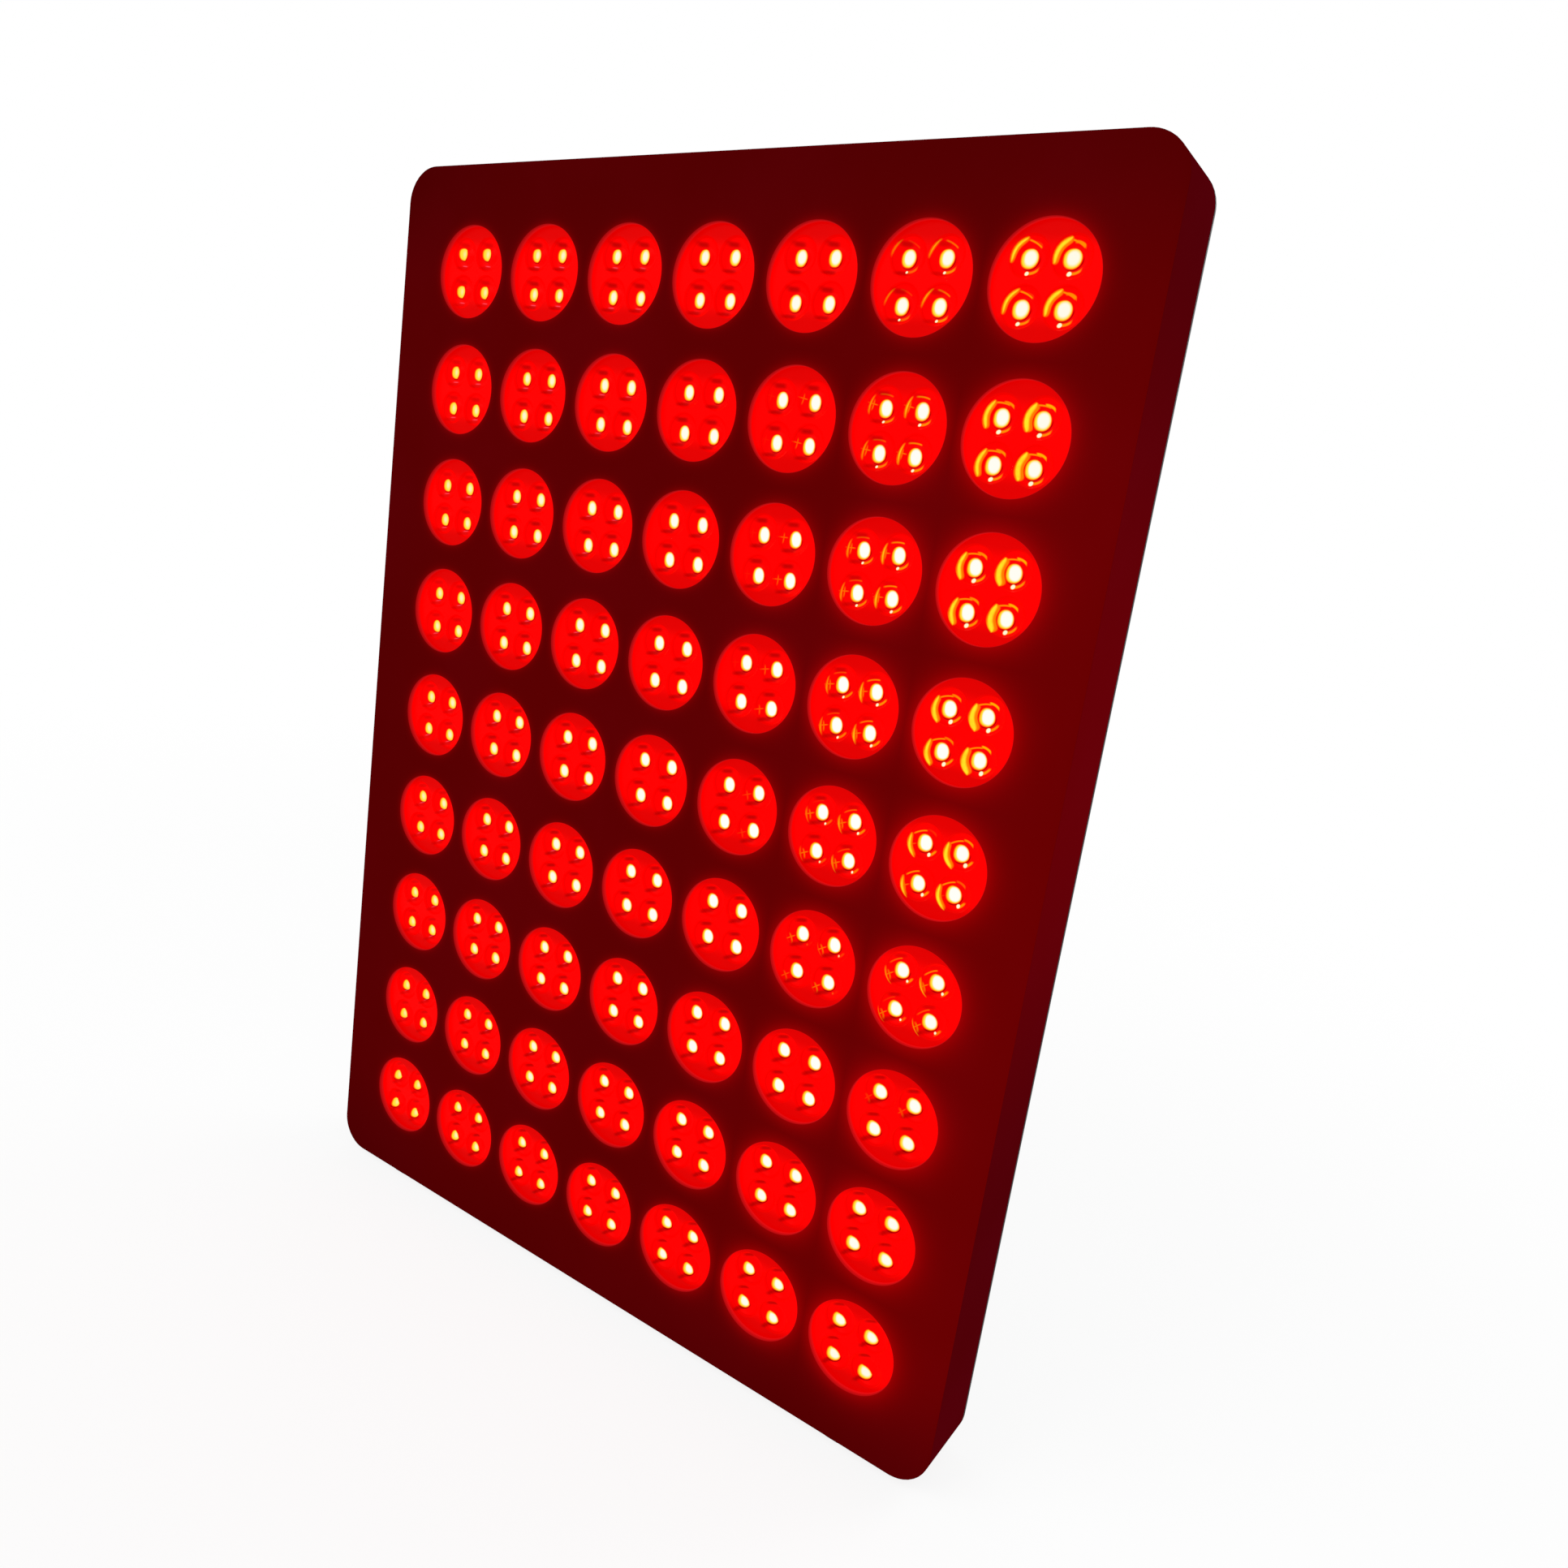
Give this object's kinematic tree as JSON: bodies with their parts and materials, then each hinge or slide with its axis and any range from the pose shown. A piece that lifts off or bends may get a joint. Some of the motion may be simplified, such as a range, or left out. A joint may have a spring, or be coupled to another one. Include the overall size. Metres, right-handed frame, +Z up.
{
  "type": "led light therapy panel",
  "caption": "Flat rectangular light therapy panel with rounded corners, a grid of round four-cell LED lenses, rear fans, mains inlet and rocker switch.",
  "frame": {"origin": "on the plane that the rubber feet stand on, under the middle of the part's box", "axes": "+Z up, X across the panel, the LEDs face -Y and the rear cover faces +Y"},
  "size_m": [0.458, 0.051, 0.6363],
  "materials": {
    "case_black": "matte black powder coat",
    "lens_clear": "clear moulded acrylic lit deep red",
    "emitter": "lit LED package",
    "board_white": "white solder mask",
    "thermal_pad": "soft silicone",
    "connector_white": "moulded nylon",
    "bare_aluminium": "mill finish",
    "driver_case": "satin",
    "black_plastic": "moulded, fine texture",
    "pin_metal": "nickel plated",
    "screw_steel": "black oxide",
    "insert_brass": "turned",
    "foot_rubber": "matte",
    "lead_sheath": "matte sheath"
  },
  "bodies": {
    "panel": {"front_panel": "case_black", "side_frame": "case_black", "rear_cover": "case_black", "cover_screws": "screw_steel", "hanging_inserts": "insert_brass", "rubber_feet": "foot_rubber", "thermal_pads": "thermal_pad", "board_connectors": "connector_white", "heat_sink": "bare_aluminium", "led_driver_left": "driver_case", "led_driver_right": "driver_case", "terminal_block": "connector_white", "mains_inlet": "black_plastic", "inlet_pins": "pin_metal", "switch_body": "black_plastic", "mains_leads": "lead_sheath", "fan_leads": "lead_sheath", "output_leads": "lead_sheath", "fan_frame_upper": "black_plastic", "fan_frame_lower": "black_plastic", "lens_row_1": "lens_clear", "led_emitters_1": "emitter", "led_board_1": "board_white", "lens_row_2": "lens_clear", "led_emitters_2": "emitter", "led_board_2": "board_white", "lens_row_3": "lens_clear", "led_emitters_3": "emitter", "led_board_3": "board_white", "lens_row_4": "lens_clear", "led_emitters_4": "emitter", "led_board_4": "board_white", "lens_row_5": "lens_clear", "led_emitters_5": "emitter", "led_board_5": "board_white", "lens_row_6": "lens_clear", "led_emitters_6": "emitter", "led_board_6": "board_white", "lens_row_7": "lens_clear", "led_emitters_7": "emitter", "led_board_7": "board_white", "lens_row_8": "lens_clear", "led_emitters_8": "emitter", "led_board_8": "board_white", "lens_row_9": "lens_clear", "led_emitters_9": "emitter", "led_board_9": "board_white"},
    "upper_fan": {"fan_rotor_upper": "black_plastic"},
    "lower_fan": {"fan_rotor_lower": "black_plastic"},
    "rocker": {"switch_rocker": "black_plastic"}
  },
  "joints": [
    {"name": "upper_fan_spin", "type": "hinge", "parent": "panel", "child": "upper_fan", "pos_m": [0, 0.0105, 0.44965], "axis": [0, 1, 0], "continuous": true},
    {"name": "lower_fan_spin", "type": "hinge", "parent": "panel", "child": "lower_fan", "pos_m": [0, 0.0105, 0.18965], "axis": [0, 1, 0], "continuous": true},
    {"name": "rocker_tilt", "type": "hinge", "parent": "panel", "child": "rocker", "pos_m": [0.118, 0.02, 0.058], "axis": [-1, 0, 0], "range_deg": [0, 18]}
  ]
}
